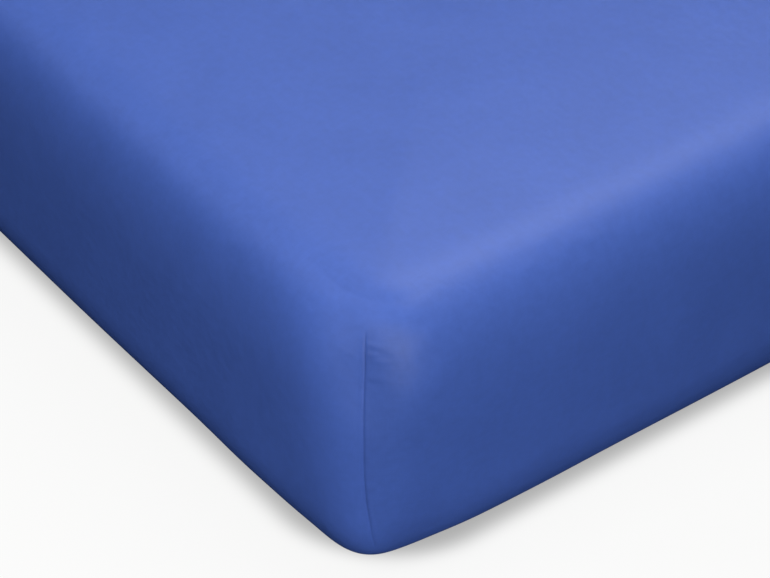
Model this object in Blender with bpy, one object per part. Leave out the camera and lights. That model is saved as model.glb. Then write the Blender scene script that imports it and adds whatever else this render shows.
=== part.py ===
"""A fitted sheet of knitted cotton, stretched over a plain single mattress.

The frame: +Z is up, Y runs from foot to head and X across the bed. The origin is on the
surface below, under the middle of the mattress. Both pieces are lofts of the same kind: a
profile, read from the edge of the flat top down the side and under the lower edge, gives
the inset and the height of each ring, and the outline gives the ring's points.
"""
import math
from collections import namedtuple

import bmesh
import bpy
import numpy as np

# Overall sizes, in metres
WIDTH = 0.900
LENGTH = 2.000
HEIGHT = 0.220

# Cloth, and the air between it and the mattress
CLOTH = 0.0020
AIR_ON_FLATS = 0.0003
AIR_ROUND_EDGES = 0.0020
CORNER_AIR_REACH = 0.045

# The soft upper edge, the tucked lower edge and the cloth turned under
TOP_ROLL_IN = 0.061
TOP_ROLL_DOWN = 0.099
TOP_ROLL_POWER = 2.3
LOW_ROLL_IN = 0.031
LOW_ROLL_UP = 0.049
TURNED_UNDER = 0.100
HEM = 0.012
HEM_NOSE = 0.0008

# Colours, as linear red, green and blue, and how rough each face is
JERSEY_BLUE, JERSEY_ROUGHNESS = (0.062, 0.122, 0.482), 0.85
TICKING_WHITE, TICKING_ROUGHNESS = (0.80, 0.79, 0.76), 0.90
SHARP_ANGLE = math.radians(35)

# Grooves that the sewing pulls into the cloth
SEAM_DEPTH = 0.0008
SEAM_HALF_WIDTH = 0.0017
SEAM_TOP = 0.198
HEM_GROOVE_DEPTH = 0.0006
HEM_GROOVE_HALF_WIDTH = 0.0012

# The sides draw in near the corners and are straight past DRAW_REACH
DRAW_IN = 0.0035
DRAW_REACH = 0.360
# Between these heights the tight lower corner turns into the round upper one
TIGHT_BELOW = 0.030
ROUND_ABOVE = 0.170

# How finely an outline is worked out before the loft's points are read from it
FINE_END, FINE_SIDE, FINE_ARC = 60, 120, 180

# Steps of the loft. Steps along a side grow from the seam to the middle of that side.
TOP_STEPS = 9
SIDE_STEPS = 3
LOW_STEPS = 5
END_STEPS, END_GROWTH = 12, 1.50
LONG_STEPS, LONG_GROWTH = 13, 1.56

# Each corner: the side of the bed that it is on, how far it reaches along the end and along
# the long side, and how square it is, at its foot and at its top, and how uneven it is
Corner = namedtuple(
    "Corner", "x y low_end low_long low_power top_end top_long top_power uneven"
)
CORNERS = (
    Corner(+1, -1, 0.085, 0.150, 4.3, 0.100, 0.080, 2.37, 1.00),
    Corner(+1, +1, 0.092, 0.135, 4.0, 0.094, 0.086, 2.45, 0.80),
    Corner(-1, +1, 0.080, 0.142, 4.4, 0.104, 0.078, 2.30, 1.10),
    Corner(-1, -1, 0.088, 0.128, 4.1, 0.096, 0.084, 2.50, 0.70),
)

# Soft uneven places near a corner seam. along is the distance from the seam, towards the
# long side where it is positive, and rise is out of the plain face. The swells are in the
# whole corner, mattress and cloth. The puckers, round the head of the seam, are in the cloth.
Bump = namedtuple("Bump", "along height half_width half_height rise")
SWELLS = (
    Bump(-0.006, 0.015, 0.016, 0.035, +0.0024),
    Bump(-0.045, 0.020, 0.024, 0.050, -0.0016),
    Bump(-0.127, 0.030, 0.038, 0.060, +0.0012),
    Bump(+0.036, 0.020, 0.026, 0.050, -0.0018),
    Bump(+0.127, 0.030, 0.045, 0.060, +0.0009),
)
PUCKERS = (
    Bump(+0.003, 0.206, 0.013, 0.010, +0.0009),
    Bump(-0.024, 0.196, 0.014, 0.012, +0.0007),
    Bump(+0.020, 0.183, 0.010, 0.010, -0.0004),
    Bump(+0.046, 0.196, 0.016, 0.010, +0.0006),
    Bump(+0.042, 0.176, 0.018, 0.011, -0.0006),
    Bump(-0.042, 0.178, 0.018, 0.014, -0.0004),
)

Ring = namedtuple("Ring", "inset height out up groove")


def clear_scene():
    for thing in list(bpy.data.objects):
        bpy.data.objects.remove(thing, do_unlink=True)


def cloth_profile():
    """Rings of the cloth's outer face, from the edge of the flat top to the hem.

    out and up are the parts of the face's direction, away from the bed and upwards.
    """
    rings = []
    for step in range(TOP_STEPS + 1):
        turn = math.radians(90) * step / TOP_STEPS
        across = math.sin(turn) ** (2 / TOP_ROLL_POWER)
        above = max(math.cos(turn), 0.0) ** (2 / TOP_ROLL_POWER)
        out = across ** (TOP_ROLL_POWER - 1) / TOP_ROLL_IN
        up = above ** (TOP_ROLL_POWER - 1) / TOP_ROLL_DOWN
        size = math.hypot(out, up)
        inset = TOP_ROLL_IN * (1 - across)
        height = HEIGHT - TOP_ROLL_DOWN * (1 - above)
        rings.append(Ring(inset, height, out / size, up / size, 0.0))
    side_top = HEIGHT - TOP_ROLL_DOWN
    for step in range(1, SIDE_STEPS):
        height = side_top + (LOW_ROLL_UP - side_top) * step / SIDE_STEPS
        rings.append(Ring(0.0, height, 1.0, 0.0, 0.0))
    for step in range(LOW_STEPS + 1):
        turn = math.radians(90) * step / LOW_STEPS
        out = math.cos(turn) / LOW_ROLL_IN
        up = -math.sin(turn) / LOW_ROLL_UP
        size = math.hypot(out, up)
        inset = LOW_ROLL_IN * (1 - math.cos(turn))
        height = LOW_ROLL_UP * (1 - math.sin(turn))
        rings.append(Ring(inset, height, out / size, up / size, 0.0))
    return rings


def under_profile():
    """Rings of the cloth turned under the mattress, with the groove of the hem's stitching."""
    stitched = TURNED_UNDER - HEM
    rings = [Ring((LOW_ROLL_IN + stitched) / 2, 0.0, 0.0, -1.0, 0.0)]
    for step in (-1, 0, 1):
        inset = stitched + step * HEM_GROOVE_HALF_WIDTH
        groove = HEM_GROOVE_DEPTH if step == 0 else 0.0
        rings.append(Ring(inset, 0.0, 0.0, -1.0, groove))
    rings.append(Ring(TURNED_UNDER, 0.0, 0.0, -1.0, 0.0))
    return rings


def smooth_between(value, low, high):
    share = min(max((value - low) / (high - low), 0.0), 1.0)
    return share * share * (3 - 2 * share)


def drawn_in(distance):
    """How far a side lies inside its straight line at a distance from the corner."""
    near = np.clip(1 - (np.abs(distance) / DRAW_REACH) ** 2, 0, 1)
    return DRAW_IN * near**2


def quarter_curve(corner, inset, height):
    """A fine line from the middle of an end, round one corner, to the middle of a long side.

    x and y are distances in from the straight side lines. seam is the index of the corner seam.
    """
    round_share = smooth_between(height, TIGHT_BELOW, ROUND_ABOVE)
    end_reach = corner.low_end + (corner.top_end - corner.low_end) * round_share
    long_reach = corner.low_long + (corner.top_long - corner.low_long) * round_share
    power = corner.low_power + (corner.top_power - corner.low_power) * round_share
    turn = np.radians(np.linspace(90, 0, FINE_ARC + 1))
    in_x = end_reach - (end_reach - inset) * np.clip(np.cos(turn), 0, 1) ** (2 / power)
    in_y = long_reach - (long_reach - inset) * np.sin(turn) ** (2 / power)
    on_end = np.linspace(WIDTH / 2, end_reach, FINE_END, endpoint=False)
    on_side = np.linspace(LENGTH / 2, long_reach, FINE_SIDE, endpoint=False)[::-1]
    in_x = np.concatenate([on_end, in_x, np.full(FINE_SIDE, inset)])
    in_y = np.concatenate([np.full(FINE_END, inset), in_y, on_side])
    x = in_x + drawn_in(in_y)
    y = in_y + drawn_in(in_x)
    seam = FINE_END + FINE_ARC // 2
    return x, y, seam


def growing_shares(steps, growth):
    """Shares of a length, from 0 to 1, whose steps grow by the same factor."""
    powers = growth ** np.arange(steps + 1)
    return (powers - 1) / (powers[-1] - 1)


def quarter_points(corner, inset, height):
    """One quarter of a ring: its points, and the distance of each from the seam."""
    x, y, seam = quarter_curve(corner, inset, height)
    run = np.concatenate([[0.0], np.cumsum(np.hypot(np.diff(x), np.diff(y)))])
    to_end = run[seam] * growing_shares(END_STEPS, END_GROWTH)
    to_side = (run[-1] - run[seam]) * growing_shares(LONG_STEPS, LONG_GROWTH)
    stops = np.concatenate([run[seam] - to_end[::-1], run[seam] + to_side[1:]])
    px = corner.x * (WIDTH / 2 - np.interp(stops, run, x))
    py = corner.y * (LENGTH / 2 - np.interp(stops, run, y))
    return [
        (a, b, s, corner) for a, b, s in zip(px, py, stops - run[seam], strict=True)
    ]


def ring_points(inset, height):
    """A whole ring, anticlockwise from above, with each middle point given once."""
    points = []
    for corner in CORNERS:
        quarter = quarter_points(corner, inset, height)
        if corner.x * corner.y > 0:
            quarter.reverse()
        points += quarter[:-1]
    return points


def bumps(rows, along, height):
    """The rise of a table of soft bumps at one place."""
    rise = 0.0
    for bump in rows:
        far = ((along - bump.along) / bump.half_width) ** 2
        far += ((height - bump.height) / bump.half_height) ** 2
        rise += bump.rise * math.exp(-far)
    return rise


def cloth_face(ring, along, corner):
    """How far the cloth's outer face stands out, with its puckers, seam and hem groove."""
    sewn = ring.groove
    if ring.height < SEAM_TOP:
        sewn += SEAM_DEPTH * max(1 - abs(along) / SEAM_HALF_WIDTH, 0.0)
    # no pucker lifts the flat top
    on_roll = min(3 * max(ring.out, 0.0), 1.0)
    return corner.uneven * bumps(PUCKERS, along, ring.height) * on_roll - sewn


def skin(ring, stands_out):
    """Points of a ring, each moved out of the plain outer face by what stands_out gives."""
    plain = ring_points(ring.inset, ring.height)
    points = []
    for i, (x, y, along, corner) in enumerate(plain):
        x_before, y_before = plain[i - 1][:2]
        x_after, y_after = plain[(i + 1) % len(plain)][:2]
        out_x, out_y = y_after - y_before, x_before - x_after
        swell = corner.uneven * bumps(SWELLS, along, ring.height)
        rise = stands_out(ring, along, corner)
        sideways = (swell + rise) * ring.out / math.hypot(out_x, out_y)
        height = ring.height + rise * ring.up
        points.append((x + out_x * sideways, y + out_y * sideways, height))
    return points


def cloth_back(ring, along, corner):
    return -CLOTH


def mattress_face(ring, along, corner):
    """Behind the cloth by a little air on the flats, and by more round edges and corners."""
    bend = 4 * (ring.out * ring.up) ** 2
    bend = max(bend, math.exp(-((along / CORNER_AIR_REACH) ** 2)) * ring.out)
    return -CLOTH - AIR_ON_FLATS - (AIR_ROUND_EDGES - AIR_ON_FLATS) * bend


def loft(name, rings, material):
    """A closed body through rings of equally many points, with flat faces over both ends."""
    work = bmesh.new()
    bmesh.ops.create_circle(work, cap_ends=False, segments=len(rings[0]), radius=1.0)
    work.verts.ensure_lookup_table()
    row = list(work.verts)
    place(row, rings[0])
    work.faces.new(row)
    for points in rings[1:]:
        row = extrude_row(work, row)
        place(row, points)
    work.faces.new(row)
    quads = [face for face in work.faces if len(face.verts) == 4]
    bmesh.ops.triangulate(work, faces=quads, quad_method="SHORT_EDGE")
    bmesh.ops.recalc_face_normals(work, faces=work.faces)
    mesh = bpy.data.meshes.new(name)
    work.to_mesh(mesh)
    work.free()
    mesh.shade_smooth()
    mesh.set_sharp_from_angle(angle=SHARP_ANGLE)
    mesh.materials.append(material)
    body = bpy.data.objects.new(name, mesh)
    bpy.context.collection.objects.link(body)
    return body


def place(row, points):
    for vert, point in zip(row, points, strict=True):
        vert.co = point


def extrude_row(work, row):
    """Extrudes a closed row of vertices and gives the new row in the same order."""
    edges = [
        work.edges.get((a, b)) for a, b in zip(row, row[1:] + row[:1], strict=True)
    ]
    made = set(bmesh.ops.extrude_edge_only(work, edges=edges)["geom"])
    return [
        next(e.other_vert(v) for e in v.link_edges if e.other_vert(v) in made)
        for v in row
    ]


def plain_material(name, color, roughness):
    material = bpy.data.materials.new(name)
    material.use_nodes = True
    shader = material.node_tree.nodes["Principled BSDF"]
    shader.inputs["Base Color"].default_value = (*color, 1.0)
    shader.inputs["Roughness"].default_value = roughness
    shader.inputs["Metallic"].default_value = 0.0
    return material


def make_sheet():
    """The cloth: its outer face down to the hem, the hem's edge, and its inner face."""
    down = cloth_profile()
    under = under_profile()
    hem_edge = Ring(TURNED_UNDER + HEM_NOSE, CLOTH / 2, 0.0, -1.0, 0.0)
    rings = [skin(ring, cloth_face) for ring in down + under]
    rings.append(skin(hem_edge, lambda *place: 0.0))
    rings += [skin(ring, cloth_back) for ring in (under[-1], under[0], *reversed(down))]
    blue = plain_material("royal_blue_jersey", JERSEY_BLUE, JERSEY_ROUGHNESS)
    return loft("fitted_sheet", rings, blue)


def make_mattress():
    rings = [skin(ring, mattress_face) for ring in cloth_profile()]
    white = plain_material("white_ticking", TICKING_WHITE, TICKING_ROUGHNESS)
    return loft("mattress", rings, white)


clear_scene()
make_mattress()
make_sheet()
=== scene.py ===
"""Looks of a royal blue fitted sheet of fine jersey, stretched over a plain single mattress.

Lengths are in metres. The cloth is a loft of closed rows. Each row has an inset from the
straight side lines and a height, and all the rows come from one profile that runs from the
top, over the soft upper edge, down the side and under the lower edge to the hem.
"""

import math
from collections import namedtuple

import bmesh
import bpy
import numpy as np
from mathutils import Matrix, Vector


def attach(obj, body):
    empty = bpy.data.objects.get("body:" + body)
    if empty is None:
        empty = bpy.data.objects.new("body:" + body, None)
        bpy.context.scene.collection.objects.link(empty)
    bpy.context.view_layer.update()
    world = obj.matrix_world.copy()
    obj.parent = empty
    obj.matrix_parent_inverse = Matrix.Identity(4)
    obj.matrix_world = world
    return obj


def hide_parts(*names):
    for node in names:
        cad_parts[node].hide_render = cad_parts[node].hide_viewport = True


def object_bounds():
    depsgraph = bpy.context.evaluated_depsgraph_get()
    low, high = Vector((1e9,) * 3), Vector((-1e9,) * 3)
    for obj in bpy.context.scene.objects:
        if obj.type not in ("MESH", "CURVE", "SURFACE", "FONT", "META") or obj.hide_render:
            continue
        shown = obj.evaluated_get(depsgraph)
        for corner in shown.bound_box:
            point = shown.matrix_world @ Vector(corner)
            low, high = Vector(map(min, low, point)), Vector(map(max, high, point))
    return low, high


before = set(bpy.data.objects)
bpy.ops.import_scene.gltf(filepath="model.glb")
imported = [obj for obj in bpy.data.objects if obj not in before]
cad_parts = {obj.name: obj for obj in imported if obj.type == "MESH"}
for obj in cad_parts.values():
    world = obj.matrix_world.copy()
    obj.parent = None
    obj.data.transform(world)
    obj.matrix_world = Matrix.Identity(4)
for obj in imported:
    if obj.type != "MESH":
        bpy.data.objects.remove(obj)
CAD_LOW, CAD_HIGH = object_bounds()

# Overall sizes, from the bounds of the parts in model.glb
WIDTH = CAD_HIGH[0] - CAD_LOW[0]
LENGTH = CAD_HIGH[1] - CAD_LOW[1]
HEIGHT = CAD_HIGH[2] - CAD_LOW[2]

# The soft upper edge, the tucked lower edge and the cloth turned under
TOP_ROLL_IN = 0.060
TOP_ROLL_DOWN = 0.120
TOP_ROLL_POWER = 3.1
# The top sinks softly towards its edges
CROWN_SINK = 0.0120
CROWN_REACH = 0.235
CROWN_POWER = 2.4
LOW_ROLL_IN = 0.031
LOW_ROLL_UP = 0.049
LOW_ROLL_POWER = 2.0
TURNED_UNDER = 0.100
HEM = 0.012
CLOTH = 0.0012
CLOTH_UNDER_HEM = 0.003
MATTRESS_GAP = 0.0022
MATTRESS_LIFT = 0.0026

# The elastic hem: a flat band drawn into gathers, which are higher towards its free edge
HEM_THICK = 0.0020
HEM_ROUND = 0.0008
HEM_MIDDLE = 0.0045
HEM_STEP = 0.003
HEM_GATHER = 0.011
HEM_WAVE = 0.0004
HEM_WAVE_START = 0.3
HEM_WAVE_UNDER = 0.6
HEM_DRIFT = 1.7
HEM_DRIFT_TURNS = 3
HEM_WELD = 1e-6

# The sides draw in near the corners and are straight past DRAW_REACH
DRAW_IN = 0.0035
DRAW_REACH = 0.360
# Between these heights the tight lower corner turns into the round upper one
TIGHT_BELOW = 0.030
ROUND_ABOVE = 0.170

# The corner seam is a narrow valley between two lips. Its line leans to the end's side, most
# at two heights. Painted shade along its valley makes it darker than the cloth beside it.
SEAM_TOP = 0.2075
SEAM_FADE = 0.014
SEAM_LOW_FADE = (0.022, 0.055)
SEAM_DEPTH = 0.00055
SEAM_HALF_WIDTH = 0.0007
SEAM_LIP = 0.00012
SEAM_LIP_AT = 0.0022
SEAM_LIP_WIDTH = 0.0012
SEAM_DIP = 0.0003
SEAM_DIP_WIDTH = 0.009
SEAM_LOW_LEAN = 0.0056
SEAM_LOW_AT = 0.076
SEAM_LOW_REACH = 0.048
SEAM_HIGH_LEAN = 0.0010
SEAM_HIGH_AT = 0.205
SEAM_HIGH_REACH = 0.028
# Painted shade along the seam's valley: how much darker, and how narrow
SEAM_PAINTED_SHADE = 0.10
SEAM_PAINTED_SHADE_WIDTH = 0.00075
# Painted light and shade beside the seam: the end's cloth is painted paler and the side's deeper
PANEL_PAINTED_LIGHT = 0.055
PANEL_PAINTED_LIGHT_REACH = 0.050
PANEL_PAINTED_LIGHT_STEP = 0.0006

# Rows of the loft. The mattress has every third station of a row.
TOP_INSETS = (0.330, 0.240, 0.195, 0.160, 0.130, 0.105, 0.085, 0.070)
TOP_STEPS = 78
SIDE_STEPS = 14
LOW_STEPS = 9
UNDER_INSETS = (0.050, 0.075)
INNER_TOP_INSETS = (0.330, 0.195, 0.130, 0.085)
INNER_TOP_STEPS = 6
INNER_SIDE_STEPS = 2
INNER_LOW_STEPS = 3
MATTRESS_STATION = 3

# Stations of the loft: their spacing beside a seam, and how it grows further off
FIRST_STEP = 0.0005
FIRST_GROWTH = 0.10
FINE_STEP = 0.0026
FINE_REACH = 0.090
MIDDLE_GROWTH = 0.035
FAR_REACH = 0.250
FAR_GROWTH = 0.14
FINE_END, FINE_SIDE, FINE_ARC = 60, 120, 360

Corner = namedtuple(
    "Corner", "x y low_end low_long low_power top_end top_long top_power uneven"
)
CORNERS = (
    Corner(+1, -1, 0.085, 0.150, 4.3, 0.100, 0.075, 2.75, 1.00),
    Corner(+1, +1, 0.092, 0.135, 4.0, 0.094, 0.080, 2.65, 0.80),
    Corner(-1, +1, 0.080, 0.142, 4.4, 0.104, 0.073, 2.70, 1.10),
    Corner(-1, -1, 0.088, 0.128, 4.1, 0.096, 0.079, 2.60, 0.70),
)

# The uneven places are on the side and fade where the upper edge turns level
SIDE_FADE = 3

# Soft uneven places near a corner. along is the distance from the corner's middle line,
# towards the long side where it is positive, and rise is out of the plain face.
Bump = namedtuple("Bump", "along height half_width half_height rise")
SWELLS = (
    Bump(-0.006, 0.015, 0.016, 0.035, +0.0024),
    Bump(-0.045, 0.020, 0.024, 0.050, -0.0016),
    Bump(-0.127, 0.030, 0.038, 0.060, +0.0012),
    Bump(+0.036, 0.020, 0.026, 0.050, -0.0018),
    Bump(+0.127, 0.030, 0.045, 0.060, +0.0009),
)
# The corner is drawn in round the top of its seam and a little further down
HOLLOWS = (
    Bump(-0.017, 0.205, 0.042, 0.032, -0.0040),
    Bump(-0.002, 0.168, 0.022, 0.034, -0.0060),
)
# The cloth alone: where it bunches and dips round the top of the seam
PUCKERS = (
    Bump(+0.001, 0.212, 0.014, 0.008, +0.00040),
    Bump(-0.029, 0.200, 0.014, 0.011, +0.00010),
    Bump(-0.0220, 0.195, 0.006, 0.005, +0.00012),
    Bump(+0.022, 0.188, 0.010, 0.010, -0.00020),
    Bump(+0.049, 0.201, 0.016, 0.009, +0.00020),
    Bump(+0.044, 0.181, 0.018, 0.011, -0.00020),
    Bump(-0.044, 0.182, 0.018, 0.014, -0.00010),
    Bump(-0.0310, 0.212, 0.004, 0.003, +0.00020),
    Bump(-0.0450, 0.206, 0.004, 0.003, -0.00025),
    Bump(-0.0160, 0.1785, 0.0020, 0.0022, -0.00025),
    Bump(+0.0420, 0.185, 0.004, 0.003, -0.00025),
    Bump(+0.0340, 0.183, 0.003, 0.003, -0.00025),
)
# Short creases, each a soft ridge or, where rise is negative, a soft trough between two
# places that are given as distance from the seam and height. At its ends a crease has only a
# share of its rise.
CREASE_END_SHARE = 0.6
Crease = namedtuple("Crease", "along height to_along to_height half_width rise")
CREASES = (
    Crease(+0.0055, 0.2080, +0.0170, 0.2105, 0.0040, +0.00025),
    Crease(+0.0170, 0.2105, +0.0435, 0.2145, 0.0040, +0.00025),
    Crease(-0.0180, 0.1895, -0.0070, 0.1865, 0.0022, +0.00020),
    Crease(+0.0015, 0.1975, +0.0115, 0.1965, 0.0018, +0.00035),
    Crease(+0.0010, 0.1900, +0.0100, 0.1915, 0.0018, +0.00035),
    Crease(+0.0055, 0.1870, +0.0220, 0.1875, 0.0018, +0.00030),
    Crease(+0.0150, 0.1960, +0.0240, 0.1920, 0.0034, +0.00035),
    Crease(+0.0010, 0.1725, +0.0170, 0.1750, 0.0018, +0.00030),
    Crease(+0.0195, 0.1755, +0.0320, 0.1755, 0.0020, -0.00022),
    Crease(+0.0035, 0.1685, +0.0105, 0.1700, 0.0018, -0.00025),
    Crease(+0.0390, 0.2020, +0.0465, 0.2005, 0.0032, +0.00030),
    Crease(+0.1815, 0.2140, +0.1940, 0.2110, 0.0026, +0.00030),
    Crease(+0.1510, 0.2110, +0.1830, 0.2055, 0.0026, +0.00032),
    Crease(+0.1560, 0.2095, +0.1620, 0.2010, 0.0026, -0.00028),
    Crease(+0.1250, 0.2145, +0.1370, 0.2140, 0.0024, +0.00024),
    Crease(+0.1185, 0.2080, +0.1300, 0.2095, 0.0028, +0.00030),
    Crease(+0.1845, 0.1890, +0.1965, 0.1850, 0.0026, +0.00030),
    Crease(+0.1095, 0.2190, +0.1200, 0.2190, 0.0024, -0.00016),
    Crease(+0.2300, 0.1945, +0.2375, 0.1950, 0.0030, -0.00028),
    Crease(+0.0820, 0.1720, +0.0870, 0.1660, 0.0022, +0.00024),
    Crease(+0.0950, 0.1595, +0.1065, 0.1510, 0.0022, +0.00024),
    Crease(+0.1165, 0.1515, +0.1200, 0.1440, 0.0022, +0.00024),
    Crease(-0.1470, 0.1915, -0.1025, 0.2110, 0.0030, +0.00028),
    Crease(-0.1055, 0.2100, -0.0985, 0.2145, 0.0026, +0.00026),
)

# The camera looks down on the corner at +X, -Y
VIEW_AZIMUTH = math.radians(53.14)
VIEW_ELEVATION = math.radians(41.8)
VIEW_DISTANCE = 2.6
VIEW_RIGHT = 0.0160
VIEW_UP = 0.1255
LENS = 193.8
SENSOR = 36.0

# Soft lights: where they hang as azimuth and elevation from the corner in view, how far off,
# how wide, and how strong in watts. One that is glossy gives only the cloth's soft shine, and
# the others give only its plain light.
Light = namedtuple("Light", "name azimuth elevation distance size watts glossy")
LIGHTS = (
    Light("behind_high", 90, 70, 3.0, 1.8, 61.0, False),
    Light("left", 225, 38, 3.0, 1.8, 35.2, False),
    Light("right_low", 340, 15, 3.0, 1.8, 39.0, False),
    Light("front", 315, 20, 1.1, 0.7, 3.6, False),
    Light("behind_shine", 130, 55, 3.0, 1.8, 16.4, True),
    Light("behind_right_shine", 90, 55, 3.0, 1.8, 11.6, True),
    Light("behind_left_shine", 170, 70, 3.0, 1.8, 8.8, True),
    Light("left_shine", 225, 62, 3.0, 1.8, 8.5, True),
    Light("front_low_shine", 285, 20, 1.1, 0.7, 1.5, True),
    Light("front_high_shine", 285, 45, 1.1, 0.7, 1.8, True),
    Light("right_shine", 45, 45, 1.1, 0.7, 1.8, True),
)
LIGHTS_AIM = np.array([0.30, -0.80, 0.15])

# Colours
ROYAL_BLUE = (0.0632, 0.1305, 0.4820)
TICKING_WHITE = (0.80, 0.79, 0.76)
FLOOR_WHITE = 0.905
FLOOR_GLOW = (1.0, 1.0, 0.995, 1.0)
FLOOR_BASE = (0.06, 0.06, 0.06, 1.0)
FLOOR_SIZE = 160

# The floor's painted contact shadow: how dark it is beside the sheet and how far it reaches
PAINTED_CONTACT_SHADOW = 0.55
CONTACT_REACH = 0.0239
CONTACT_FALL = 3.7
CONTACT_CORNER = 0.070

# Knit: wales run along the length of the bed and down its ends
WALE = 0.00080
COURSE = 0.00062
STITCH_SLANT = 1.1
STITCH_SWING = 0.25
GROOVE_SHAPE = 0.6
KNIT_MIDDLE = 0.36

# Jersey: how fine its uneven patches and streaks are, across the wales and along them, and
# how much each changes the tone
MOTTLE_SCALE = 170.0
CLOUD_SCALE = 22.0
WALE_STREAKS = (1150.0, 45.0)
COURSE_STREAKS = (40.0, 1400.0)
MOTTLE_TONE = 0.20
CLOUD_TONE = 0.14
WALE_TONE = 0.07
COURSE_TONE = 0.06
# Painted shade in the knit's grooves, and painted light on its yarn
KNIT_PAINTED_SHADE = 0.12
# Its relief and its soft shine
MOTTLE_RELIEF = 0.6
CLOUD_RELIEF = 2.0
RELIEF_STRENGTH = 0.70
RELIEF_HEIGHT = 0.0004
KNIT_STRENGTH = 0.30
KNIT_HEIGHT = 0.0001
JERSEY_ROUGH = 0.42
JERSEY_ROUGH_MOTTLE = 0.12

# Ticking: a fine twill and a slight mottle
TWILL_SCALE = 240.0
TWILL_WAVER = 0.4
TWILL_TONE = 0.04
TWILL_STRENGTH = 0.3
TWILL_HEIGHT = 0.0002
TICKING_SCALE = 60.0
TICKING_TONE = 0.06
TICKING_ROUGH = 0.88
TICKING_ROUGH_MOTTLE = 0.1


def roll_rows(steps, start, end, across_size, down_size, power):
    """Shares across and down a quarter of a rounded edge, and the way that it faces."""
    for step in range(steps + 1):
        turn = math.radians(start + (end - start) * step / steps)
        across = math.sin(turn) ** (2 / power)
        above = max(math.cos(turn), 0.0) ** (2 / power)
        out = across ** (power - 1) / across_size
        up = above ** (power - 1) / down_size
        size = math.hypot(out, up)
        yield across, above, out / size, up / size


def top_roll(steps):
    """Rows of the soft upper edge: inset, height, out and up."""
    shares = roll_rows(steps, 0, 90, TOP_ROLL_IN, TOP_ROLL_DOWN, TOP_ROLL_POWER)
    return [
        (TOP_ROLL_IN * (1 - across), HEIGHT - TOP_ROLL_DOWN * (1 - above), out, up)
        for across, above, out, up in shares
    ]


def low_roll(steps):
    """Rows of the tucked lower edge, from the side to the underside."""
    shares = roll_rows(steps, 90, 0, LOW_ROLL_IN, LOW_ROLL_UP, LOW_ROLL_POWER)
    return [
        (LOW_ROLL_IN * (1 - across), LOW_ROLL_UP * (1 - above), out, -up)
        for across, above, out, up in shares
    ]


def cloth_profile(top_insets, top_steps, side_steps, low_steps):
    """Rows from inside the top to the underside, each an inset, a height, out and up."""
    side_top = HEIGHT - TOP_ROLL_DOWN
    side_heights = np.linspace(side_top, LOW_ROLL_UP, side_steps + 1)[1:-1]
    rows = [(inset, HEIGHT, 0.0, 1.0) for inset in top_insets]
    rows += top_roll(top_steps)
    rows += [(0.0, height, 1.0, 0.0) for height in side_heights]
    rows += low_roll(low_steps)
    rows += [(inset, 0.0, 0.0, -1.0) for inset in UNDER_INSETS]
    rows.append((TURNED_UNDER - HEM + CLOTH_UNDER_HEM, 0.0, 0.0, -1.0))
    return np.array(rows)


def inner_profile():
    """The plainer rows that the cloth's inner skin and the mattress share."""
    return cloth_profile(INNER_TOP_INSETS, INNER_TOP_STEPS, INNER_SIDE_STEPS, INNER_LOW_STEPS)


def smooth_between(value, low, high):
    """0 below low, 1 above high and a smooth step between them."""
    share = np.clip((value - low) / (high - low), 0.0, 1.0)
    return share * share * (3 - 2 * share)


def drawn_in(distance):
    """How far a side lies inside its straight line at a distance from the corner."""
    near = np.clip(1 - (np.abs(distance) / DRAW_REACH) ** 2, 0, 1)
    return DRAW_IN * near**2


def quarter_curve(corner, inset, height):
    """A fine line from the middle of an end, round one corner, to the middle of a side."""
    round_share = smooth_between(height, TIGHT_BELOW, ROUND_ABOVE)
    end_reach = corner.low_end + (corner.top_end - corner.low_end) * round_share
    long_reach = corner.low_long + (corner.top_long - corner.low_long) * round_share
    power = corner.low_power + (corner.top_power - corner.low_power) * round_share
    end_reach = max(end_reach, inset + CLOTH_UNDER_HEM)
    long_reach = max(long_reach, inset + CLOTH_UNDER_HEM)
    turn = np.radians(np.linspace(90, 0, FINE_ARC + 1))
    in_x = end_reach - (end_reach - inset) * np.clip(np.cos(turn), 0, 1) ** (2 / power)
    in_y = long_reach - (long_reach - inset) * np.sin(turn) ** (2 / power)
    on_end = np.linspace(WIDTH / 2, end_reach, FINE_END, endpoint=False)
    on_side = np.linspace(LENGTH / 2, long_reach, FINE_SIDE, endpoint=False)[::-1]
    in_x = np.concatenate([on_end, in_x, np.full(FINE_SIDE, inset)])
    in_y = np.concatenate([np.full(FINE_END, inset), in_y, on_side])
    x = in_x + drawn_in(in_y)
    y = in_y + drawn_in(in_x)
    return x, y, FINE_END + FINE_ARC // 2


def station_shares(length):
    """Shares of the way from a seam to a side's middle, close together beside the seam."""
    stops = [0.0]
    while stops[-1] < length:
        gone = stops[-1]
        step = min(FIRST_STEP + FIRST_GROWTH * gone, FINE_STEP)
        step += MIDDLE_GROWTH * max(gone - FINE_REACH, 0)
        step += FAR_GROWTH * max(gone - FAR_REACH, 0)
        stops.append(gone + step)
    return np.array(stops) / stops[-1]


END_SHARES = station_shares(WIDTH / 2)
LONG_SHARES = station_shares(LENGTH / 2)
END_STEPS = len(END_SHARES) - 1
LONG_STEPS = len(LONG_SHARES) - 1


def seam_place(height):
    """How far the seam lies from the corner's middle line, towards the long side."""
    low = np.exp(-(((height - SEAM_LOW_AT) / SEAM_LOW_REACH) ** 2))
    high = np.exp(-(((height - SEAM_HIGH_AT) / SEAM_HIGH_REACH) ** 2))
    return -(SEAM_LOW_LEAN * low + SEAM_HIGH_LEAN * high)


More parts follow.
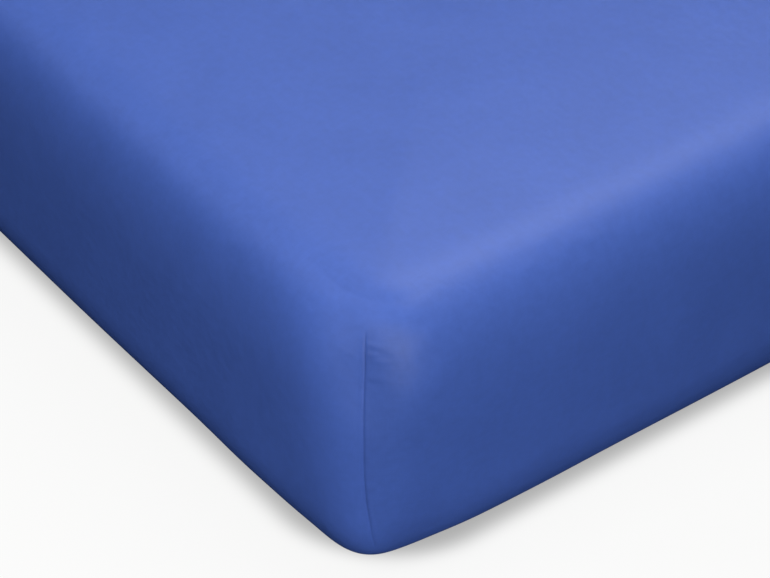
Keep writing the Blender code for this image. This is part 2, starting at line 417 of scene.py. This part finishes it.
def quarter_row(corner, inset, height):
    """A quarter of a row: x, y, distance from the seam, from the corner and from the middle."""
    x, y, middle = quarter_curve(corner, inset, height)
    run = np.concatenate([[0.0], np.cumsum(np.hypot(np.diff(x), np.diff(y)))])
    seam = run[middle] + seam_place(height)
    to_end = seam * END_SHARES
    to_side = (run[-1] - seam) * LONG_SHARES
    stops = np.concatenate([seam - to_end[::-1], seam + to_side[1:]])
    px = corner.x * (WIDTH / 2 - np.interp(stops, run, x))
    py = corner.y * (LENGTH / 2 - np.interp(stops, run, y))
    from_middle = np.where(stops <= seam, stops, run[-1] - stops)
    return np.stack([px, py, stops - seam, stops - run[middle], from_middle])


def whole_row(inset, height):
    """A closed row, anticlockwise from above, of the values of quarter_row."""
    parts = []
    for corner in CORNERS:
        quarter = quarter_row(corner, inset, height)
        if corner.x * corner.y > 0:
            quarter = quarter[:, ::-1]
        parts.append(quarter[:, :-1])
    return np.concatenate(parts, axis=1)


def per_station(value_of):
    """A value of each station's corner, all round a row."""
    count = END_STEPS + LONG_STEPS
    return np.concatenate([np.full(count, value_of(corner)) for corner in CORNERS])


def bumps(rows, along, height):
    """The rise of a table of soft bumps over a whole grid of places."""
    rise = np.zeros_like(along)
    for bump in rows:
        far = ((along - bump.along) / bump.half_width) ** 2
        far = far + ((height - bump.height) / bump.half_height) ** 2
        rise += bump.rise * np.exp(-far)
    return rise


def creases(rows, along, height):
    """The rise of a table of short creases, strongest at the middle of each."""
    rise = np.zeros_like(along)
    swell = 4 * (1 - CREASE_END_SHARE)
    for crease in rows:
        run_a = crease.to_along - crease.along
        run_h = crease.to_height - crease.height
        size = run_a**2 + run_h**2
        share = (along - crease.along) * run_a + (height - crease.height) * run_h
        share = np.clip(share / size, 0, 1)
        off_a = along - crease.along - share * run_a
        off_h = height - crease.height - share * run_h
        far = (off_a**2 + off_h**2) / crease.half_width**2
        rise += crease.rise * np.exp(-far) * (CREASE_END_SHARE + swell * share * (1 - share))
    return rise


def sunk(inset, height):
    """How far the top and its soft edge lie under their plain height."""
    share = np.clip((height - HEIGHT + TOP_ROLL_DOWN) / TOP_ROLL_DOWN, 0, 1)
    near = np.clip(1 - inset / CROWN_REACH, 0, 1)
    return CROWN_SINK * share * near**CROWN_POWER


def seam_shows(height):
    """1 where the seam shows, 0 above its top and where it is drawn under."""
    top = smooth_between(SEAM_TOP - height, 0.0, SEAM_FADE)
    return top * smooth_between(height, *SEAM_LOW_FADE)


def seam_relief(along, height):
    """The seam's narrow valley, its two lips and the wide dip that it pulls in."""
    valley = SEAM_DEPTH * np.exp(-((along / SEAM_HALF_WIDTH) ** 2))
    dip = SEAM_DIP * np.exp(-((along / SEAM_DIP_WIDTH) ** 2))
    off_lip = (np.abs(along) - SEAM_LIP_AT) / SEAM_LIP_WIDTH
    lips = SEAM_LIP * np.exp(-(off_lip**2))
    return seam_shows(height) * (lips - valley - dip)


def painted_panel_shading(along, height):
    """How much painted light makes the cloth paler beside the seam, or painted shade deeper where
    negative.
    """
    side = -np.tanh(along / PANEL_PAINTED_LIGHT_STEP)
    near = np.exp(-((along / PANEL_PAINTED_LIGHT_REACH) ** 2))
    return PANEL_PAINTED_LIGHT * side * near * seam_shows(height)


Grid = namedtuple("Grid", "points along from_middle down tone sewn")


def skin(profile, depth, detailed):
    """A skin at a depth under the cloth's face, with the small creases where detailed."""
    height = profile[:, 1:2]
    out = profile[:, 2:3]
    up = profile[:, 3:4]
    rows = np.stack([whole_row(row[0], row[1]) for row in profile])
    x, y, along, corner_along, from_middle = rows.transpose(1, 0, 2)
    out_x = np.roll(y, -1, axis=1) - np.roll(y, 1, axis=1)
    out_y = np.roll(x, 1, axis=1) - np.roll(x, -1, axis=1)
    size = np.hypot(out_x, out_y)
    height = height + np.zeros_like(x)
    uneven = per_station(lambda corner: corner.uneven)
    swell = uneven * bumps(SWELLS, corner_along, height)
    on_side = np.clip(SIDE_FADE * out, 0, 1)
    rise = uneven * bumps(HOLLOWS, corner_along, height) * on_side - depth
    if detailed:
        small = bumps(PUCKERS, along, height) + creases(CREASES, along, height)
        rise += uneven * small * on_side + seam_relief(along, height)
    sideways = (swell + rise) * out
    z = height - sunk(profile[:, 0:1], height) + rise * up
    points = [x + out_x / size * sideways, y + out_y / size * sideways, z]
    steps = np.hypot(np.diff(profile[:, 0]), np.diff(profile[:, 1]))
    down = np.concatenate([[0.0], np.cumsum(steps)])
    down -= down[np.argmin(np.abs(profile[:, 0] - TOP_ROLL_IN))]
    # Painted light and shade beside the seam
    tone = painted_panel_shading(along, height)
    return Grid(np.stack(points, axis=2), along, from_middle, down, tone, seam_shows(height))


def loft(rows, close_start, close_end):
    """Closed rows of points joined into one skin. Gives its bmesh and its rows of vertices."""
    work = bmesh.new()
    work.loops.layers.uv.new("knit")
    for name in ("from_seam", "tone", "sewn"):
        work.verts.layers.float.new(name)
    bmesh.ops.create_circle(work, cap_ends=False, segments=len(rows[0]), radius=1.0)
    work.verts.ensure_lookup_table()
    row = list(work.verts)
    place(row, rows[0])
    if close_start:
        work.faces.new(row)
    made = [row]
    for points in rows[1:]:
        row = extrude_row(work, row)
        place(row, points)
        made.append(row)
    if close_end:
        work.faces.new(row)
    bmesh.ops.recalc_face_normals(work, faces=work.faces)
    return work, made


def place(row, points):
    """Moves a row of vertices to its points."""
    for vert, point in zip(row, points, strict=True):
        vert.co = point


def extrude_row(work, row):
    """Extrudes a closed row of vertices and gives the new row in the same order."""
    pairs = zip(row, row[1:] + row[:1], strict=True)
    edges = [work.edges.get(pair) for pair in pairs]
    made = set(bmesh.ops.extrude_edge_only(work, edges=edges)["geom"])
    return [next(e.other_vert(v) for e in v.link_edges if e.other_vert(v) in made) for v in row]


def finish_mesh(name, work, material):
    """Turns a bmesh into a smooth object with one material."""
    mesh = bpy.data.meshes.new(name)
    work.to_mesh(mesh)
    work.free()
    mesh.shade_smooth()
    mesh.materials.append(material)
    piece = bpy.data.objects.new(name, mesh)
    bpy.context.collection.objects.link(piece)
    return piece


def make_cloth(material):
    """The sheet: a fine outer skin, turned at the hem into a plainer inner one."""
    outer = skin(cloth_profile(TOP_INSETS, TOP_STEPS, SIDE_STEPS, LOW_STEPS), 0.0, True)
    inner = skin(inner_profile(), CLOTH, False)
    rows = list(outer.points) + list(inner.points[::-1])
    work, made = loft(rows, True, True)
    outside = len(outer.points)
    lay_pattern(work, made, outer, outside)
    for name, values in (("from_seam", outer.along), ("tone", outer.tone), ("sewn", outer.sewn)):
        layer = work.verts.layers.float[name]
        for row, row_values in zip(made[:outside], values, strict=True):
            for vert, value in zip(row, row_values, strict=True):
                vert[layer] = value
    return finish_mesh("sheet_cloth", work, material)


def panel_of_spans():
    """For each span between two stations: on a long side or not, and its corner's signs."""
    spans = []
    for corner in CORNERS:
        long_side = [False] * END_STEPS + [True] * LONG_STEPS
        if corner.x * corner.y > 0:
            long_side.reverse()
        spans += [(on_long, corner.x, corner.y) for on_long in long_side]
    return spans


def lay_pattern(work, made, grid, outside):
    """Knit map in metres: the top as it lies, and each side folded out flat beside it."""
    layer = work.loops.layers.uv["knit"]
    where = {vert: (k, j) for k, row in enumerate(made) for j, vert in enumerate(row)}
    spans = panel_of_spans()
    half_width = WIDTH / 2 - TOP_ROLL_IN
    half_length = LENGTH / 2 - TOP_ROLL_IN
    for face in work.faces:
        spots = [where[loop.vert] for loop in face.loops]
        rows = [k for k, j in spots]
        stations = [j for k, j in spots]
        gap = max(stations) - min(stations) > 1
        on_long, sign_x, sign_y = spans[-1 if gap else min(stations)]
        inside = max(rows) >= outside
        on_top = max(rows) <= len(TOP_INSETS)
        for loop, (k, j) in zip(face.loops, spots, strict=True):
            if inside or on_top:
                u, v = loop.vert.co.x, loop.vert.co.y
            elif on_long:
                u = sign_x * (half_width + grid.down[k])
                v = sign_y * grid.from_middle[k][j]
            else:
                u = sign_x * grid.from_middle[k][j]
                v = sign_y * (half_length + grid.down[k])
            loop[layer].uv = (u, v)


def make_mattress(material):
    """The plain mattress inside, its bottom a little above the floor on the turned cloth."""
    profile = inner_profile()[:-1]
    grid = skin(profile, MATTRESS_GAP, False)
    points = grid.points[:, ::MATTRESS_STATION].copy()
    points[:, :, 2] = np.maximum(points[:, :, 2], MATTRESS_LIFT)
    work, made = loft(list(points), True, True)
    return finish_mesh("mattress_body", work, material)


class Nodes:
    """Short ways to add and join the nodes of one material."""

    def __init__(self, name):
        self.material = bpy.data.materials.new(name)
        self.material.use_nodes = True
        self.tree = self.material.node_tree
        self.shader = self.tree.nodes["Principled BSDF"]

    def add(self, kind, **settings):
        node = self.tree.nodes.new(kind)
        for name, value in settings.items():
            setattr(node, name, value)
        return node

    def join(self, value, socket):
        if isinstance(value, bpy.types.NodeSocket):
            self.tree.links.new(value, socket)
        else:
            socket.default_value = value

    def math(self, operation, first, second=0.0, third=0.0):
        node = self.add("ShaderNodeMath", operation=operation)
        for value, socket in zip((first, second, third), node.inputs, strict=True):
            self.join(value, socket)
        return node.outputs[0]

    def vector(self, operation, first, second=(0.0, 0.0, 0.0)):
        node = self.add("ShaderNodeVectorMath", operation=operation)
        self.join(first, node.inputs[0])
        self.join(second, node.inputs[1])
        return node

    def noise(self, where, scale, detail=2.0):
        node = self.add("ShaderNodeTexNoise")
        self.join(where, node.inputs["Vector"])
        node.inputs["Scale"].default_value = scale
        node.inputs["Detail"].default_value = detail
        return self.math("SUBTRACT", node.outputs["Fac"], 0.5)

    def bump(self, height, strength, distance, under=None):
        node = self.add("ShaderNodeBump")
        node.inputs["Strength"].default_value = strength
        node.inputs["Distance"].default_value = distance
        self.join(height, node.inputs["Height"])
        if under is not None:
            self.join(under, node.inputs["Normal"])
        return node.outputs["Normal"]

    def attribute(self, name):
        return self.add("ShaderNodeAttribute", attribute_name=name).outputs["Fac"]

    def set(self, **values):
        for name, value in values.items():
            self.join(value, self.shader.inputs[name.replace("_", " ")])


def stretched(nodes, where, u_scale, v_scale):
    """The knit map with its two directions at different scales."""
    node = nodes.add("ShaderNodeMapping")
    nodes.join(where, node.inputs["Vector"])
    node.inputs["Scale"].default_value = (u_scale, v_scale, 1.0)
    return node.outputs["Vector"]


def knit_height(nodes, where):
    """Rows of slanting stitch legs, 0 in the grooves and 1 on the yarn."""
    split = nodes.add("ShaderNodeSeparateXYZ")
    nodes.join(where, split.inputs[0])
    across = nodes.math("DIVIDE", split.outputs["X"], WALE)
    legs = nodes.math("PINGPONG", across, 0.5)
    up = nodes.math("DIVIDE", split.outputs["Y"], COURSE)
    slanted = nodes.math("MULTIPLY_ADD", legs, STITCH_SLANT, up)
    stitch = nodes.math("SINE", nodes.math("MULTIPLY", slanted, 2 * math.pi))
    groove = nodes.math("ABSOLUTE", nodes.math("SINE", nodes.math("MULTIPLY", across, 2 * math.pi)))
    leg = nodes.math("MULTIPLY_ADD", stitch, STITCH_SWING, 0.5)
    return nodes.math("MULTIPLY", leg, nodes.math("POWER", groove, GROOVE_SHAPE))


def jersey():
    """Fine royal blue knit with a soft mottle and faint streaks, painted shade in its grooves and
    along the seam's valley, and painted light and shade beside the seam.
    """
    nodes = Nodes("royal_blue_jersey")
    uv = nodes.add("ShaderNodeUVMap", uv_map="knit").outputs["UV"]
    place_in = nodes.add("ShaderNodeTexCoord").outputs["Object"]
    knit = knit_height(nodes, uv)
    mottle = nodes.noise(place_in, MOTTLE_SCALE, 3.0)
    cloud = nodes.noise(place_in, CLOUD_SCALE)
    wale_streak = nodes.noise(stretched(nodes, uv, *WALE_STREAKS), 1.0)
    course_streak = nodes.noise(stretched(nodes, uv, *COURSE_STREAKS), 1.0)
    from_seam = nodes.attribute("from_seam")
    tone = nodes.attribute("tone")
    sewn = nodes.attribute("sewn")

    # The seam's valley, where its painted shade falls
    off_seam = nodes.math("MULTIPLY", from_seam, 1 / SEAM_PAINTED_SHADE_WIDTH)
    off_seam = nodes.math("POWER", nodes.math("ABSOLUTE", off_seam), 2.0)
    seam_valley_shade = nodes.math("EXPONENT", nodes.math("MULTIPLY", off_seam, -1.0))
    seam_valley_shade = nodes.math("MULTIPLY", seam_valley_shade, sewn)

    # Painted light and shade beside the seam: the end's side paler, the long side's deeper
    value = nodes.math("ADD", 1.0, tone)
    value = nodes.math("MULTIPLY_ADD", mottle, MOTTLE_TONE, value)
    value = nodes.math("MULTIPLY_ADD", cloud, CLOUD_TONE, value)
    value = nodes.math("MULTIPLY_ADD", wale_streak, WALE_TONE, value)
    value = nodes.math("MULTIPLY_ADD", course_streak, COURSE_TONE, value)
    # Painted shade in the knit's grooves, lighter on the yarn
    value = nodes.math("MULTIPLY_ADD", nodes.math("SUBTRACT", knit, KNIT_MIDDLE), KNIT_PAINTED_SHADE, value)
    value = nodes.math("MULTIPLY_ADD", seam_valley_shade, -SEAM_PAINTED_SHADE, value)
    colour = nodes.add("ShaderNodeHueSaturation")
    colour.inputs["Color"].default_value = (*ROYAL_BLUE, 1.0)
    nodes.join(value, colour.inputs["Value"])

    relief = nodes.math("MULTIPLY", cloud, CLOUD_RELIEF)
    relief = nodes.math("MULTIPLY_ADD", mottle, MOTTLE_RELIEF, relief)
    normal = nodes.bump(relief, RELIEF_STRENGTH, RELIEF_HEIGHT)
    normal = nodes.bump(knit, KNIT_STRENGTH, KNIT_HEIGHT, normal)
    nodes.set(
        Base_Color=colour.outputs["Color"],
        Roughness=nodes.math("MULTIPLY_ADD", mottle, JERSEY_ROUGH_MOTTLE, JERSEY_ROUGH),
        Specular_IOR_Level=0.5,
        Normal=normal,
    )
    return nodes.material


def ticking():
    """Plain white woven cover of the mattress, with a fine twill."""
    nodes = Nodes("white_ticking")
    place_in = nodes.add("ShaderNodeTexCoord").outputs["Object"]
    weave = nodes.add("ShaderNodeTexWave", bands_direction="DIAGONAL")
    nodes.join(place_in, weave.inputs["Vector"])
    weave.inputs["Scale"].default_value = TWILL_SCALE
    weave.inputs["Distortion"].default_value = TWILL_WAVER
    mottle = nodes.noise(place_in, TICKING_SCALE)
    value = nodes.math("MULTIPLY_ADD", mottle, TICKING_TONE, 1.0)
    value = nodes.math("MULTIPLY_ADD", weave.outputs["Fac"], TWILL_TONE, value)
    colour = nodes.add("ShaderNodeHueSaturation")
    colour.inputs["Color"].default_value = (*TICKING_WHITE, 1.0)
    nodes.join(value, colour.inputs["Value"])
    nodes.set(
        Base_Color=colour.outputs["Color"],
        Roughness=nodes.math("MULTIPLY_ADD", mottle, TICKING_ROUGH_MOTTLE, TICKING_ROUGH),
        Normal=nodes.bump(weave.outputs["Fac"], TWILL_STRENGTH, TWILL_HEIGHT),
    )
    return nodes.material


def make_floor():
    """A pale table that glows evenly, with a painted contact shadow where the sheet rests on it."""
    bpy.ops.mesh.primitive_plane_add(size=FLOOR_SIZE, location=(0, 0, 0))
    floor = bpy.context.object
    floor.name = "floor"
    nodes = Nodes("pale_floor")
    spot = nodes.add("ShaderNodeTexCoord").outputs["Object"]
    straight = CONTACT_CORNER + LOW_ROLL_IN
    box = (WIDTH / 2 - straight, LENGTH / 2 - straight, 1.0)
    spot = nodes.vector("ABSOLUTE", spot).outputs[0]
    spot = nodes.vector("SUBTRACT", spot, box).outputs[0]
    spot = nodes.vector("MAXIMUM", spot).outputs[0]
    away = nodes.vector("LENGTH", spot).outputs["Value"]
    away = nodes.math("MAXIMUM", nodes.math("SUBTRACT", away, CONTACT_CORNER), 0.0)
    share = nodes.math("POWER", nodes.math("DIVIDE", away, CONTACT_REACH), CONTACT_FALL)
    # Painted contact shadow, darkest beside the sheet
    shade = nodes.math("EXPONENT", nodes.math("MULTIPLY", share, -1.0))
    light = nodes.math("MULTIPLY_ADD", shade, -PAINTED_CONTACT_SHADOW, 1.0)
    light = nodes.math("MULTIPLY", light, FLOOR_WHITE)
    nodes.set(Base_Color=FLOOR_BASE, Roughness=1.0, Specular_IOR_Level=0.0)
    nodes.set(Emission_Color=FLOOR_GLOW, Emission_Strength=light)
    floor.data.materials.append(nodes.material)
    floor.visible_diffuse = False
    floor.visible_glossy = False


def aimed(spot, aim):
    """The turn that points a lamp at a place."""
    x, y, z = np.array(aim) - np.array(spot)
    return math.atan2(math.hypot(x, y), -z), 0.0, math.atan2(y, x) - math.pi / 2


def make_camera():
    """The photograph's view, from above the corner at +X, -Y."""
    flat = math.cos(VIEW_ELEVATION)
    back_x = math.sin(VIEW_AZIMUTH) * flat
    back_y = -math.cos(VIEW_AZIMUTH) * flat
    back = np.array([back_x, back_y, math.sin(VIEW_ELEVATION)])
    right = np.array([math.cos(VIEW_AZIMUTH), math.sin(VIEW_AZIMUTH), 0.0])
    up = np.cross(back, right)
    corner = np.array([CAD_HIGH[0], CAD_LOW[1], HEIGHT / 2])
    lens = bpy.data.cameras.new("camera")
    lens.lens = LENS
    lens.sensor_width = SENSOR
    camera = bpy.data.objects.new("camera", lens)
    camera.location = corner + right * VIEW_RIGHT + up * VIEW_UP + back * VIEW_DISTANCE
    camera.rotation_euler = (math.pi / 2 - VIEW_ELEVATION, 0.0, VIEW_AZIMUTH)
    bpy.context.collection.objects.link(camera)
    bpy.context.scene.camera = camera


def make_lights():
    """Square soft panels that the camera doesn't see, aimed at the corner in view."""
    for row in LIGHTS:
        turn = math.radians(row.azimuth)
        rise = math.radians(row.elevation)
        flat = math.cos(rise)
        away = np.array([flat * math.cos(turn), flat * math.sin(turn), math.sin(rise)])
        light = bpy.data.lights.new(row.name, "AREA")
        light.shape = "SQUARE"
        light.size = row.size
        light.energy = row.watts
        lamp = bpy.data.objects.new(row.name, light)
        lamp.location = LIGHTS_AIM + away * row.distance
        lamp.rotation_euler = aimed(lamp.location, LIGHTS_AIM)
        lamp.visible_camera = False
        lamp.visible_diffuse = not row.glossy
        lamp.visible_glossy = row.glossy
        bpy.context.collection.objects.link(lamp)


def make_world():
    """A white surround that only the camera sees."""
    world = bpy.data.worlds.new("studio")
    bpy.context.scene.world = world
    world.use_nodes = True
    background = world.node_tree.nodes["Background"]
    background.inputs["Color"].default_value = (1.0, 1.0, 1.0, 1.0)
    background.inputs["Strength"].default_value = FLOOR_WHITE
    world.cycles_visibility.diffuse = False
    world.cycles_visibility.glossy = False


def even_row(inset):
    """A closed row on the underside with evenly spaced points, anticlockwise from above."""
    parts = []
    for corner in CORNERS:
        x, y, middle = quarter_curve(corner, inset, 0.0)
        px = corner.x * (WIDTH / 2 - x)
        py = corner.y * (LENGTH / 2 - y)
        if corner.x * corner.y > 0:
            px, py = px[::-1], py[::-1]
        parts.append(np.stack([px[:-1], py[:-1]]))
    line = np.concatenate(parts, axis=1)
    line = np.concatenate([line, line[:, :1]], axis=1)
    run = np.concatenate([[0.0], np.cumsum(np.hypot(np.diff(line[0]), np.diff(line[1])))])
    return line, run


def wave_share(share):
    """The share of a gather's height, growing from HEM_WAVE_START to 1."""
    return HEM_WAVE_START + (1 - HEM_WAVE_START) * share


def make_hem(material):
    """The elastic hem under the mattress: a flat band drawn into small even gathers."""
    outer_inset = TURNED_UNDER - HEM
    count = int(round(2 * (WIDTH + LENGTH) / HEM_STEP))
    gathers = round(2 * (WIDTH + LENGTH) / HEM_GATHER)
    # Insets, and shares of the band's thickness
    section = (
        (outer_inset, 0.25),
        (outer_inset + HEM_ROUND, 0.0),
        (outer_inset + HEM_MIDDLE, 0.0),
        (TURNED_UNDER - HEM_ROUND, 0.0),
        (TURNED_UNDER, 0.5),
        (TURNED_UNDER - HEM_ROUND, 1.0),
        (outer_inset + HEM_MIDDLE, 1.0),
        (outer_inset + HEM_ROUND, 1.0),
        (outer_inset, 0.75),
    )
    rows = []
    for inset, share in section:
        line, run = even_row(inset)
        stops = np.arange(count) / count
        x = np.interp(stops * run[-1], run, line[0])
        y = np.interp(stops * run[-1], run, line[1])
        drift = HEM_DRIFT * np.sin(2 * math.pi * HEM_DRIFT_TURNS * stops)
        phase = 2 * math.pi * (gathers * stops + drift)
        depth = (inset - outer_inset) / HEM
        wave = HEM_WAVE * wave_share(depth) * (0.5 + 0.5 * np.sin(phase))
        z = share * HEM_THICK + wave * wave_share(share) * (1.0 if share else HEM_WAVE_UNDER)
        rows.append(np.stack([x, y, z], axis=1))
    rows.append(rows[0])
    work, made = loft(rows, False, False)
    bmesh.ops.remove_doubles(work, verts=work.verts, dist=HEM_WELD)
    bmesh.ops.recalc_face_normals(work, faces=work.faces)
    return finish_mesh("sheet_hem", work, material)


royal_blue = jersey()
cloth = make_cloth(royal_blue)
hem = make_hem(royal_blue)
for piece in (cloth, hem):
    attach(piece, "root")
    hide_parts("fitted_sheet")

mattress = make_mattress(ticking())
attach(mattress, "root")
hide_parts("mattress")

make_floor()
make_lights()
make_world()
make_camera()
bpy.context.scene.view_settings.view_transform = "Standard"
